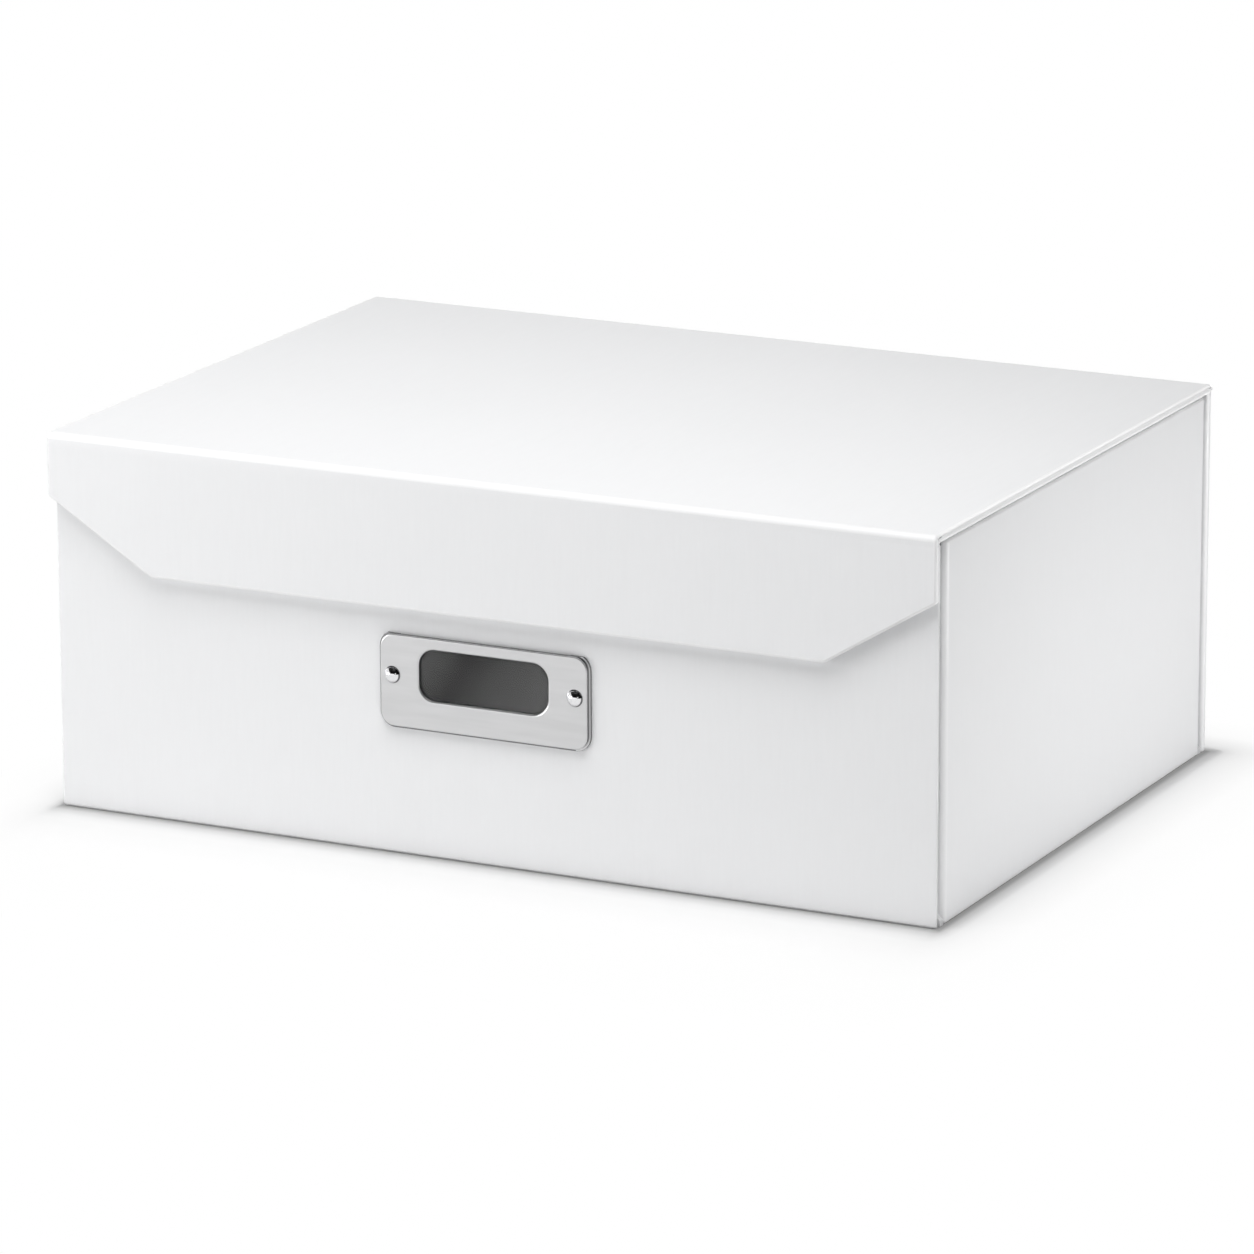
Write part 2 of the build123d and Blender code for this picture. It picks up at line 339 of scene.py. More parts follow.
coverLook = {
    "pale": (0.862, 0.866, 0.875),
    "shade": (0.852, 0.856, 0.865),
    "fold": (0.98, 0.98, 0.98),    # painted highlight: the rounded edges and folds are painted this much whiter
    "lidHighlight": 1.0,                # and the painted highlight is strongest along the lid's
    "otherHighlight": 0.43,
    "grooveShade": 0.8,                 # painted shade: how much greyer the strips in the grooves are painted
    "specular": 0.42,
    "roughness": (0.29, 0.33),
    "cloudsPerMetre": 11,
    "grainPerMetre": 900,
    "grainLength": 14,             # how many times longer than wide a fibre streak is
    "grainRelief": (0.008 * mm, 0.2),
    "fibresPerMetre": 2600,
    "fibreRelief": (0.006 * mm, 0.3),
}


def coverPaper(name, along, paintedShade=1):       # laminated white paper, its grain along one axis; a factor below 1 darkens it all as painted shade
    look = coverLook
    material, shader = newMaterial(name, {"Specular IOR Level": look["specular"]})
    stretch = [1, 1, 1]
    stretch["xyz".index(along)] = 1 / look["grainLength"]
    grain = noise(material, look["grainPerMetre"], 2, stretch)
    fibres = noise(material, look["fibresPerMetre"], 4)
    clouds = noise(material, look["cloudsPerMetre"], 2)
    shade, pale = ([paintedShade * part for part in look[key]] for key in ("shade", "pale"))
    # the rounded edges marked in the mesh get the painted highlight
    white = marked(material, twoTones(material, grain, shade, pale), "fold", look["fold"])
    paint(material, shader, white, span(material, clouds, look["roughness"]))
    relief(material, shader, [(fibres, *look["fibreRelief"]), (grain, *look["grainRelief"])])
    return material


liningLook = {
    "dark": (0.795, 0.79, 0.778),
    "pale": (0.85, 0.848, 0.84),
    "specular": 0.25,
    "roughness": (0.72, 0.84),
    "cloudsPerMetre": 60,
    "fibresPerMetre": 1700,
    "fibreRelief": (0.03 * mm, 0.5),
}


def liningPaper():                 # uncoated, a little warmer and matt
    look = liningLook
    material, shader = newMaterial("liningPaper", {"Specular IOR Level": look["specular"]})
    fibres = noise(material, look["fibresPerMetre"], 5)
    clouds = noise(material, look["cloudsPerMetre"], 3)
    tones = twoTones(material, fibres, look["dark"], look["pale"])
    paint(material, shader, tones, span(material, clouds, look["roughness"]))
    relief(material, shader, [(fibres, *look["fibreRelief"])])
    return material


boardLook = {
    "dark": (0.30, 0.285, 0.26),
    "pale": (0.50, 0.48, 0.45),
    "roughness": (0.8, 0.92),
    "flecksPerMetre": 420,
    "fleckRelief": (0.05 * mm, 0.6),
}


def greyboard():                   # recycled board with darker and paler flecks
    look = boardLook
    material, shader = newMaterial("greyboard")
    flecks = noise(material, look["flecksPerMetre"], 6, roughness=0.7)
    tones = twoTones(material, flecks, look["dark"], look["pale"])
    paint(material, shader, tones, span(material, flecks, look["roughness"]))
    relief(material, shader, [(flecks, *look["fleckRelief"])])
    return material


paintedEdgeShade = (0.2, 0.2, 0.205)       # painted shade round a stamped piece's polished face and at the rivets' feet
metals = {
    "satinSteel": {
        "dark": (0.582, 0.583, 0.588), "pale": (0.618, 0.619, 0.624), "roughness": (0.285, 0.3),
        "grain": (45, 45, 400), "relief": (0.0004 * mm, 0.3),
    },
    "polishedSteel": {
        "dark": (0.74, 0.74, 0.75), "pale": (0.80, 0.80, 0.81), "roughness": (0.05, 0.09),
        "grain": (900, 900, 900), "relief": (0.002 * mm, 0.3),
    },
    "plainSteel": {
        "dark": (0.48, 0.48, 0.5), "pale": (0.58, 0.58, 0.6), "roughness": (0.3, 0.42),
        "grain": (300, 300, 300), "relief": (0.01 * mm, 0.3),
    },
    "magnetMetal": {
        "dark": (0.54, 0.54, 0.55), "pale": (0.63, 0.63, 0.64), "roughness": (0.16, 0.24),
        "grain": (500, 500, 500), "relief": (0.004 * mm, 0.3),
    },
}


def metal(name):
    look = metals[name]
    material, shader = newMaterial(name, {"Metallic": 1.0})
    grain = noise(material, 1, 2, look["grain"])
    tones = twoTones(material, grain, look["dark"], look["pale"])
    # faces marked edge get the painted shade
    colour = marked(material, tones, "edge", paintedEdgeShade)
    paint(material, shader, colour, span(material, grain, look["roughness"]))
    relief(material, shader, [(grain, *look["relief"])])
    return material


filmLook = {
    "ior": 1.18,
    "scuff": (0.97, 0.97, 0.97),
    "clear": (1, 1, 1),
    "roughness": (0.02, 0.07),
    "scuffsPerMetre": 90,
}


def clearFilm():
    look = filmLook
    material, shader = newMaterial("clearFilm", {"IOR": look["ior"], "Transmission Weight": 1.0})
    scuffs = noise(material, look["scuffsPerMetre"], 3)
    tones = twoTones(material, scuffs, look["scuff"], look["clear"])
    paint(material, shader, tones, span(material, scuffs, look["roughness"]))
    return material


cardLook = {
    "slant": -35,
    "perMetre": 20,
    "reach": (-1.5, 0.05),
    # place along the slant, grey
    "bands": [(0.1, 0.1), (0.22, 0.0675), (0.375, 0.0275), (0.5, 0.055), (0.66, 0.078), (0.85, 0.1)],
    "specular": 0.05,
    "roughness": (0.6, 0.75),
    "fibresPerMetre": 1500,
    "fibreRelief": (0.003 * mm, 0.2),
}


def bandShadedCard():                    # dark card with painted light and shade in soft slanting bands
    look = cardLook
    material, shader = newMaterial("bandShadedCard", {"Specular IOR Level": look["specular"]})
    fibres = noise(material, look["fibresPerMetre"], 4)
    slanted = stretched(material, [look["perMetre"]] * 3, (0, math.radians(look["slant"]), 0))
    parts = addNode(material, "ShaderNodeSeparateXYZ")
    start, end = look["reach"]
    across = addNode(material, "ShaderNodeMapRange", {"From Min": start, "From Max": end})
    links = material.node_tree.links
    links.new(slanted, parts.inputs[0])
    links.new(parts.outputs["X"], across.inputs["Value"])
    bands = greyRamp(material, across.outputs["Result"], look["bands"])
    paint(material, shader, bands, span(material, fibres, look["roughness"]))
    relief(material, shader, [(fibres, *look["fibreRelief"])])
    return material


uprightPaper = coverPaper("uprightPaper", "z")
lidPaper = coverPaper("lidPaper", "y")
# the strips deep in the grooves get painted shade
shadedStripPaper = coverPaper("shadedStripPaper", "z", coverLook["grooveShade"])
lining = liningPaper()
board = greyboard()
satinSteel, polishedSteel, plainSteel, magnetMetal = [metal(name) for name in metals]
film = clearFilm()
card = bandShadedCard()
print("materials ready")


# Sizes that the panels share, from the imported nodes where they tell
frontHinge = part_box("flap_hinge_cover")
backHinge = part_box("lid_hinge_cover")
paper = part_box("lid_lining")[1].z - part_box("lid_lining")[0].z
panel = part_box("front_cover")[1].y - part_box("front_cover")[0].y
topZ = frontHinge[1].z
lidHalf = frontHinge[1].x
hingeReach = frontHinge[1].y - frontHinge[0].y
frontCorner = {"y": frontHinge[0].y, "inward": 1}
backCorner = {"y": backHinge[1].y, "inward": -1}
covered = {
    "edgeRound": 1.2 * mm,
    "edgeSteps": 6,
    "sideRound": 1.8 * mm,           # the side panels' upright front edges
    "frontBevel": 2.4 * mm,
    "hingeRound": 2.6 * mm,
    "paperRound": 2.2 * mm,
    "hingeSteps": 12,
    "mitreGap": 0.3 * mm,
    "mitreTrim": 0.1 * mm,
    "liningProud": 0.08 * mm,
    "liningRound": 0.1 * mm,
    "liningSteps": 2,
    "boardSteps": 3,
}


def takeLining(obj, name, inward, node):    # opens the cover and makes the sheet that fills it
    axis = max(range(3), key=lambda i: abs(inward[i]))
    across = 1 if axis == 0 else 0
    up = 3 - axis - across
    low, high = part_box(node)
    place = high[axis] if inward[axis] > 0 else low[axis]
    pickFaces(obj, lambda c, n: n.dot(inward) > squarely and same(c[axis], place))
    bpy.ops.mesh.inset(thickness=low[across] - pickedBox(obj)[0][across], depth=0)
    insetLow, insetHigh = pickedBox(obj)

    def inside(p):
        within = insetLow[across] - near < p[across] < insetHigh[across] + near
        reach = min(insetLow[up], low[up]) - near < p[up] < max(insetHigh[up], high[up]) + near
        return within and reach and same(p[axis], place)

    for there, wanted in ((insetHigh[up], high[up]), (insetLow[up], low[up])):
        pickPoints(obj, lambda p: inside(p) and same(p[up], there))
        shift = Vector((0, 0, 0))
        shift[up] = wanted - there
        bpy.ops.transform.translate(value=shift)
    pickFaces(obj, lambda p, n: n.dot(inward) > squarely and inside(p), corners=True)
    bpy.ops.mesh.separate(type="SELECTED")
    leave()
    sheet = [other for other in bpy.context.selected_objects if other is not obj][0]
    sheet.name = sheet.data.name = name
    enter(sheet)
    bpy.ops.mesh.select_all(action="SELECT")
    bpy.ops.transform.translate(value=inward * covered["liningProud"])
    thicken(sheet, paper)
    enter(sheet)
    proud = place + inward[axis] * covered["liningProud"]
    roundEdges(sheet, covered["liningRound"], covered["liningSteps"], edgeAt(axis, proud))
    leave()
    steadyFaces(sheet)
    enter(obj)
    return sheet


def finishPanel(obj, sheet, name, look, body):
    thicken(obj, paper)
    steadyFaces(obj)
    # painted highlight on the rounded edges, strongest on the lid
    markPaintedHighlight(obj, coverLook["lidHighlight" if name == "lid" else "otherHighlight"])
    dress(obj, look, body, [plainName(name) + "_cover"])
    dress(sheet, lining, body, [plainName(name) + "_lining"])


# Plain panels: rounded all over, open behind for the lining

def bevelEnds(obj, high):            # the inner corners go in, so that the ends slope into the grooves
    narrow(obj, (high.x - covered["frontBevel"]) / high.x, lambda p: same(p.y, high.y))


def plainPanel(name, inward):
    low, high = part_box(plainName(name) + "_cover")
    obj = newBlock(name + "Cover", low, high)
    if name == "front":
        bevelEnds(obj, high)
    sheet = takeLining(obj, name + "Lining", Vector(inward), plainName(name) + "_lining")
    if inward[0]:
        outside = low.x if inward[0] > 0 else high.x
        roundEdges(
            obj, covered["sideRound"], covered["edgeSteps"],
            lambda a, b: all(same(p.x, outside) and same(p.y, low.y) for p in (a, b)), sharp,
        )
    roundEdges(obj, covered["edgeRound"], covered["edgeSteps"], always, sharp)
    finishPanel(obj, sheet, name, uprightPaper, "box")


for panelName, inward in {
    "base": (0, 0, 1),
    "front": (0, 1, 0),
    "leftSide": (1, 0, 0),
    "rightSide": (-1, 0, 0),
}.items():
    plainPanel(panelName, inward)
print("plain panels ready")


# Corner strips: sunk in the upright grooves, each on a small foot

strip = {"sunk": 1.9 * mm, "foot": 2.4 * mm, "slope": 1.6 * mm, "edge": 0.25 * mm, "edgeSteps": 3}


def cornerStrip(name):
    low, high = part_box(plainName(name))
    side = 1 if high.x > 0 else -1
    outside = high.x if side > 0 else low.x
    obj = newBlock(name, low, high)
    for height in (strip["foot"], strip["foot"] + strip["slope"]):
        scoreAcross(obj, (0, 0, low.z + height), (0, 0, 1), lambda c, n: abs(n.z) < 0.5)
    pickPoints(obj, lambda p: same(p.x, outside) and p.z > low.z + strip["foot"] + near)
    bpy.ops.transform.translate(value=(-side * strip["sunk"], 0, 0))
    inner = abs(outside) - strip["sunk"] - near
    roundEdges(
        obj, strip["edge"], strip["edgeSteps"], lambda a, b: min(abs(a.x), abs(b.x)) > inner, sharp
    )
    leave()
    steadyFaces(obj)
    dress(obj, shadedStripPaper, "box", [plainName(name)])


for corner in ("frontLeft", "frontRight", "backLeft", "backRight"):
    cornerStrip(corner + "CornerStrip")
print("corner strips ready")


# Lid, back and flap: mitred at the hinges, bare where the hinge papers lie

def mitre(corner, hung):             # hung: the panel that hangs at the hinge, not the lid
    gap = covered["mitreGap"] / math.sqrt(2)
    inward = corner["inward"]
    if hung:
        return Vector((0, corner["y"], topZ - gap)), Vector((0, inward, 1)).normalized()
    return Vector((0, corner["y"] + inward * gap, topZ)), Vector((0, -inward, -1)).normalized()


def hingedPanel(name, low, high, corners, hung, inward, look, body, cuts=()):
    obj = newBlock(name + "Cover", low, high)
    for point, normal in cuts:
        cutAway(point, normal)
    for corner in corners:
        roundEdges(
            obj, covered["hingeRound"], covered["hingeSteps"],
            lambda a, b: all(same(p.z, topZ) and same(p.y, corner["y"]) for p in (a, b)),
        )
    planes = [mitre(corner, hung) for corner in corners]
    for plane in planes:
        cutAway(*plane)
    inward = Vector(inward)
    sheet = takeLining(obj, name + "Lining", inward, name + "_lining")
    roundEdges(
        obj, covered["edgeRound"], covered["edgeSteps"],
        lambda a, b: not any(onPlane(a, plane) and onPlane(b, plane) for plane in planes), sharp,
    )

    def outer(c, n):
        return n.dot(inward) < -0.02

    for corner in corners:
        limit = Vector((0, corner["y"] + corner["inward"] * hingeReach, topZ - hingeReach))
        across = Vector((0, 0, -1)) if hung else Vector((0, corner["inward"], 0))
        scoreAcross(obj, limit, across, outer)
        dropFaces(obj, lambda c, n: outer(c, n) and (limit - c).dot(across) > 0)
    for corner, plane in zip(corners, planes):       # the mitre stops under the two hinge papers
        along = Vector((0, corner["inward"], -1)).normalized()
        depth = (math.sqrt(2) - 1) * covered["hingeRound"] + 2 * paper + covered["mitreTrim"]
        pickFaces(obj, lambda p, n: onPlane(p, plane), corners=True)
        bpy.ops.mesh.bisect(
            plane_co=Vector((0, corner["y"], topZ)) + along * depth, plane_no=-along,
            clear_outer=True, threshold=cutLimit,
        )
    finishPanel(obj, sheet, name, look, body)


frontY, backY = frontCorner["y"], backCorner["y"]
hingedPanel(
    "lid", (-lidHalf, frontY, topZ - panel), (lidHalf, backY, topZ),
    corners=[frontCorner, backCorner], hung=False, inward=(0, 0, -1), look=lidPaper, body="lid",
)
print("lid ready")

backLow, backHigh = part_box("back_cover")
hingedPanel(
    "back", (backLow.x, backY - panel, backLow.z), (backHigh.x, backY, topZ),
    corners=[backCorner], hung=True, inward=(0, -1, 0), look=uprightPaper, body="box",
)

flapShape = {"sideDrop": 23 * mm, "cutWidth": 41 * mm}
flapLow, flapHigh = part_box("flap_cover")
cutTop = topZ - flapShape["sideDrop"]
flapCuts = [
    ((side * lidHalf, 0, cutTop), Vector((side * (cutTop - flapLow.z), 0, -flapShape["cutWidth"])))
    for side in (-1, 1)
]
hingedPanel(
    "flap", (-lidHalf, frontY, flapLow.z), (lidHalf, frontY + panel, topZ),
    corners=[frontCorner], hung=True, inward=(0, 1, 0), look=uprightPaper, body="flap", cuts=flapCuts,
)
print("back and flap ready")


# Hinge papers: round the hinges between two bodies, cover outside and lining inside

hinge = {"flatCuts": 4, "smoothAngle": 50}


def hingeStrip(name, corner, layer, endHalf):
    inward = corner["inward"]
    outer = corner["y"]
    inner = outer + inward * hingeReach
    bottom = topZ - hingeReach
    half = lidHalf - layer * covered["edgeRound"]     # the lining ends inside the cover's rounding
    obj = newBlock(name, (-half, min(outer, inner), bottom), (half, max(outer, inner), topZ))
    roundEdges(
        obj, covered["paperRound"], covered["hingeSteps"],
        lambda a, b: all(same(p.z, topZ) and same(p.y, outer) for p in (a, b)),
    )
    if not layer:
        onSide, onInner, onBottom = edgeAt(0, lidHalf, sides=True), edgeAt(1, inner), edgeAt(2, bottom)
        roundEdges(
            obj, covered["edgeRound"], covered["edgeSteps"],
            lambda a, b: onSide(a, b) and not onInner(a, b) and not onBottom(a, b),
        )
    dropFaces(obj, lambda c, n: abs(n.x) > facing or n.z < -facing or n.y * inward > facing)
    flat = hingeReach - covered["paperRound"]
    for cut in range(1, hinge["flatCuts"]):
        share = cut / hinge["flatCuts"]
        scoreAcross(obj, (0, inner - inward * flat * share, 0), (0, 1, 0), always)
        scoreAcross(obj, (0, 0, bottom + flat * share), (0, 0, 1), always)
    if endHalf < lidHalf:                    # the back panel is a little narrower than the lid
        narrow(obj, endHalf / lidHalf, lambda p: p.z < topZ - covered["paperRound"] + near)
    if layer:
        bpy.ops.mesh.select_all(action="SELECT")
        bpy.ops.transform.shrink_fatten(value=-layer * paper)
    thicken(obj, paper)
    smoothFaces(obj, hinge["smoothAngle"])
    # painted highlight on the hinge paper's rounded edges
    markPaintedHighlight(obj, coverLook["otherHighlight"])
    look, slot = (lining, "lining_paper") if layer else (lidPaper, "cover_paper")
    dress(obj, look, nodes=[plainName(name)])
    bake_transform(obj)


for layer, sheetName in enumerate(("Cover", "Lining")):
    hingeStrip("lidHinge" + sheetName, backCorner, layer, backHigh.x)
    hingeStrip("flapHinge" + sheetName, frontCorner, layer, lidHalf)
print("hinge papers ready")


# Front board, label frame and rivets

rivet = {
    "head": 3.1 * mm,
    "rise": 2.0 * mm,
    "foot": 0.7 * mm,                # the part of the dome beside the plate, which gets painted shade
    "shank": 1.4 * mm,
    "tail": 2.2 * mm,
    "tailThickness": 0.5 * mm,
    "segments": 64,
    "rings": 48,
}
bore = {"room": 0.1 * mm, "beyond": 1 * mm, "sides": 64}


def boreBoard(obj, middle, radius, start, end):
    bpy.ops.object.select_all(action="DESELECT")
    bpy.ops.mesh.primitive_cylinder_add(
        vertices=bore["sides"], radius=radius + bore["room"], depth=end - start,
        location=(middle[0], (start + end) / 2, middle[1]), rotation=(math.radians(90), 0, 0),
    )
    combine(obj, bpy.context.object, "DIFFERENCE")


def makeFrontBoard():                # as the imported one, with its ends bevelled like its cover
    low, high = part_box("front_board")
    rivetLow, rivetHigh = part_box("label_rivets")
    washerLow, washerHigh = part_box("rivet_washers")
    strikeLow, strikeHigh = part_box("strike_plates")
    washerRadius = (washerHigh.z - washerLow.z) / 2
    strikeRadius = (strikeHigh.z - strikeLow.z) / 2
    start, end = low.y - bore["beyond"], high.y + bore["beyond"]
    obj = newBlock("frontBoard", low, high)
    bevelEnds(obj, high)
    roundEdges(obj, covered["edgeRound"] - paper, covered["boardSteps"], always, sharp)
    leave()
    for side in (-1, 1):
        rivetPlace = side * (rivetHigh.x - rivet["head"]), (rivetLow.z + rivetHigh.z) / 2
        strikePlace = side * (strikeHigh.x - strikeRadius), (strikeLow.z + strikeHigh.z) / 2
        boreBoard(obj, rivetPlace, rivet["shank"], start, end)
        boreBoard(obj, strikePlace, strikeRadius, start, strikeHigh.y)
        boreBoard(obj, rivetPlace, washerRadius, washerLow.y, end)
    steadyFaces(obj)
    dress(obj, board, "box", ["front_board"])


label = {
    "corner": 5.7 * mm,
    "cornerSteps": 10,
    "flange": 0.8 * mm,
    "flangeDrop": 1.3 * mm,          # how far the flange lies behind the face
    "flangeEdge": 0.2 * mm,
    "flangeSteps": 3,
    "edgeRound": 0.5 * mm,
    "edgeSteps": 5,
    "sheet": 0.6 * mm,
    "wall": 1.1 * mm,
    "slot": 2.2 * mm,                # the way out for the card, behind the top edge
    "cardRoom": 0.15 * mm,
    "topLedge": 0.02 * mm,           # what is left of the flange along the top
    "windowCorner": 6 * mm,
    "windowEdge": 0.9 * mm,
    "windowSteps": 6,
    "windowRim": 0.6 * mm,
    "rimDepth": 1.1 * mm,
    "filmMargin": 2.5 * mm,
    "through": 1 * mm,               # how far a cut runs past the plate
}


def plainBlock(name, low, high):
    obj = newBlock(name, low, high)
    leave()
    return obj


def roundedBlock(name, low, high, corner):
    obj = newBlock(name, low, high)
    roundEdges(obj, corner, label["cornerSteps"], lambda a, b: not same(a.y, b.y))
    leave()
    return obj


def onFace(p, low, high):            # within the middle of the flange, by its rounded corners
    inX = max(low.x + label["corner"] - p.x, p.x - high.x + label["corner"], 0)
    inZ = max(low.z + label["corner"] - p.z, p.z - high.z + label["corner"], 0)
    return math.hypot(inX, inZ) < label["corner"] - label["flange"] / 2


def stampPlate(low, high):           # a raised face on a flange
    flangeY = low.y + label["flangeDrop"]
    obj = roundedBlock("labelFrame", (low.x, flangeY, low.z), high, label["corner"])
    enter(obj)
    pickFaces(obj, lambda c, n: n.y < -facing)
    bpy.ops.mesh.inset(thickness=label["flange"], depth=0)
    bpy.ops.mesh.extrude_region_move(TRANSFORM_OT_translate={"value": (0, low.y - flangeY, 0)})
    roundEdges(obj, label["edgeRound"], label["edgeSteps"], edgeAt(1, low.y))
    onFlange = edgeAt(1, flangeY)
    roundEdges(
        obj, label["flangeEdge"], label["flangeSteps"],
        lambda a, b: onFlange(a, b) and not (onFace(a, low, high) or onFace(b, low, high)), sharp,
    )
    leave()
    return obj


def makeLabelFrame():
    low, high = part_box("label_frame")
    filmLow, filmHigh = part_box("label_window_film")
    cardLow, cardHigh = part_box("label_card")
    margin = Vector((label["filmMargin"], 0, label["filmMargin"]))
    rim = Vector((label["windowRim"], 0, label["windowRim"]))
    windowLow, windowHigh = filmLow + margin, filmHigh - margin
    sheet, wall, room, through = (label[key] for key in ("sheet", "wall", "cardRoom", "through"))
    obj = stampPlate(low, high)

    pocketLow = (low.x + wall, low.y + sheet, low.z + wall)
    pocketHigh = (high.x - wall, high.y + through, high.z - wall)
    combine(obj, roundedBlock("pocket", pocketLow, pocketHigh, label["corner"] - wall), "DIFFERENCE")
    slotLow = (cardLow.x - room, cardLow.y - room, high.z - label["slot"])
    slotHigh = (cardHigh.x + room, high.y + through, high.z + through)
    combine(obj, plainBlock("slot", slotLow, slotHigh), "DIFFERENCE")
    overLow = (low.x - through, low.y, high.z - label["flange"] + label["topLedge"])
    overHigh = (high.x + through, high.y + through, high.z + through)
    combine(obj, plainBlock("overTop", overLow, overHigh), "DIFFERENCE")
    rimLow = Vector((windowLow.x, low.y + sheet / 2, windowLow.z)) - rim
    rimHigh = Vector((windowHigh.x, low.y + label["rimDepth"], windowHigh.z)) + rim
    combine(obj, roundedBlock("rim", rimLow, rimHigh, label["windowCorner"] + label["windowRim"]), "UNION")
    holeLow = (windowLow.x, low.y - through, windowLow.z)
    holeHigh = (windowHigh.x, high.y + through, windowHigh.z)
    combine(obj, roundedBlock("hole", holeLow, holeHigh, label["windowCorner"]), "DIFFERENCE")

    def atWindow(p):
        inX = windowLow.x - near < p.x < windowHigh.x + near
        inZ = windowLow.z - near < p.z < windowHigh.z + near
        return inX and inZ and same(p.y, low.y)

    enter(obj)
    roundEdges(
        obj, label["windowEdge"], label["windowSteps"], lambda a, b: atWindow(a) and atWindow(b)
    )
    leave()
    steadyFaces(obj)

    def paintedShadeFace(face):                  # painted shade behind the face, but not on the flange's ledge at the right, which stays bright
        ledge = face.normal.y < -0.9 and face.center.x > high.x - label["corner"]
        return face.center.y > low.y + label["edgeRound"] - near and not ledge

    # painted shade on the walls and flange behind the face
    markFaces(obj, "edge", 1.0, paintedShadeFace)
    dress(obj, satinSteel, "box", ["label_frame"])


def makeRivets():
    low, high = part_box("label_rivets")
    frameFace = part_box("label_frame")[0].y
    tailStart = high.y - rivet["tailThickness"]
    head, rise = rivet["head"], rivet["rise"]
    ball = (head ** 2 + rise ** 2) / (2 * rise)
    pieces = []
    for side, middleX in (("Left", low.x + head), ("Right", high.x - head)):
        bpy.ops.object.select_all(action="DESELECT")
        bpy.ops.mesh.primitive_uv_sphere_add(
            segments=rivet["segments"], ring_count=rivet["rings"], radius=ball,
            location=(middleX, low.y + ball, (low.z + high.z) / 2), rotation=(math.radians(90), 0, 0),
        )
        obj = settle("rivet" + side)
        cutAway((0, frameFace, 0), (0, 1, 0))
        pickFaces(obj, lambda c, n: same(c.y, frameFace) and n.y > facing)
        bpy.ops.mesh.inset(thickness=head - rivet["shank"], depth=0)
        for reach in (tailStart - frameFace, rivet["tailThickness"]):
            bpy.ops.mesh.extrude_region_move(TRANSFORM_OT_translate={"value": (0, reach, 0)})
        pickFaces(obj, lambda c, n: tailStart + near < c.y < high.y - near and abs(n.y) < 0.1)
        bpy.ops.mesh.extrude_region_shrink_fatten(
            TRANSFORM_OT_shrink_fatten={"value": rivet["tail"] - rivet["shank"]}
        )
        leave()
        pieces.append(obj)
    both = pieces[0]
    pickObject(both)
    pieces[1].select_set(True)
    bpy.ops.object.join()
    both.name = both.data.name = "labelRivets"
    smoothFaces(both)
    # painted shade on the foot of each dome
    markFaces(both, "edge", 1.0, lambda face: face.center.y > frameFace - rivet["foot"])
    dress(both, polishedSteel, "box", ["label_rivets"])


makeFrontBoard()
makeLabelFrame()
makeRivets()
print("front board, label frame and rivets ready")


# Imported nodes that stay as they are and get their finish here

nodeLooks = {
    "_board": board,
    "rivet_washers": plainSteel,
    "strike_plates": plainSteel,
    "flap_magnets": magnetMetal,
    "label_window_film": film,
    "label_card": card,
}
for nodeName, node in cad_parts.items():
    for ending, look in nodeLooks.items():
        if nodeName.endswith(ending):
            for materialSlot in node.material_slots:
                materialSlot.material = look
print("packed nodes dressed")


# Floor, light and camera

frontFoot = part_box("front_cover")[0].y
studio = {
    "floorSize": 12,
    "whiteFrom": 0.12,               # metres from the box at which the floor is all white
    # by distance from the box's foot, as a share of that: the floor's grey where it is seen, darker near
    # the foot as a painted contact shadow, its grey for the light that it throws back, darker at the foot
    # as painted shade, and the share of plain white mixed in
    "floorSeenShadow": [(0.0, 0.3), (0.033, 0.6), (0.075, 0.78), (0.2, 0.8), (0.32, 0.86)],
    "floorBounceShade": [(0.0, 0.1), (0.035, 0.86)],
    "floorWhite": [
        (0.0, 0.15), (0.075, 0.16), (0.12, 0.55), (0.2, 0.71), (0.32, 0.8), (0.5, 0.95), (1.0, 1.0),
    ],
    # how fast the distance counts on each side, so the painted shadow reaches farthest in front
    "fade": {"left": 3.0, "right": 2.2, "front": 1.0, "back": 3.0},
    "worldLight": 0.0,
}


def seenRays(owner):                # 1 for what the camera, metal and film look at
    links = owner.node_tree.links
    path = addNode(owner, "ShaderNodeLightPath")
    total = path.outputs["Is Camera Ray"]
    for ray in ("Is Glossy Ray", "Is Transmission Ray"):
        both = addNode(owner, "ShaderNodeMath", operation="MAXIMUM")
        links.new(total, both.inputs[0])
        links.new(path.outputs[ray], both.inputs[1])
        total = both.outputs[0]
    return total


def floorDistance(material):        # from the box's foot
    place = addNode(material, "ShaderNodeTexCoord")
    parts = addNode(material, "ShaderNodeSeparateXYZ")
    links = material.node_tree.links
    links.new(place.outputs["Object"], parts.inputs[0])
    apart = {}
    for way, (axis, sign, edge) in {
        "left": ("X", -1, -cadBox[0].x), "right": ("X", 1, cadBox[1].x),
        "front": ("Y", -1, -frontFoot), "back": ("Y", 1, cadBox[1].y),
    }.items():
        beyond = addNode(material, "ShaderNodeMath", operation="MULTIPLY_ADD")
        beyond.inputs[1].default_value = sign * studio["fade"][way]
        beyond.inputs[2].default_value = -edge * studio["fade"][way]
        clear = addNode(material, "ShaderNodeMath", operation="MAXIMUM")
        clear.inputs[1].default_value = 0.0
        links.new(parts.outputs[axis], beyond.inputs[0])
        links.new(beyond.outputs[0], clear.inputs[0])
        apart[way] = clear.outputs[0]
    joined = addNode(material, "ShaderNodeCombineXYZ")
    for axis, (a, b) in {"X": ("left", "right"), "Y": ("front", "back")}.items():
        both = addNode(material, "ShaderNodeMath", operation="ADD")
        links.new(apart[a], both.inputs[0])
        links.new(apart[b], both.inputs[1])
        links.new(both.outputs[0], joined.inputs[axis])
    length = addNode(material, "ShaderNodeVectorMath", operation="LENGTH")
    links.new(joined.outputs[0], length.inputs[0])
    return length.outputs["Value"]


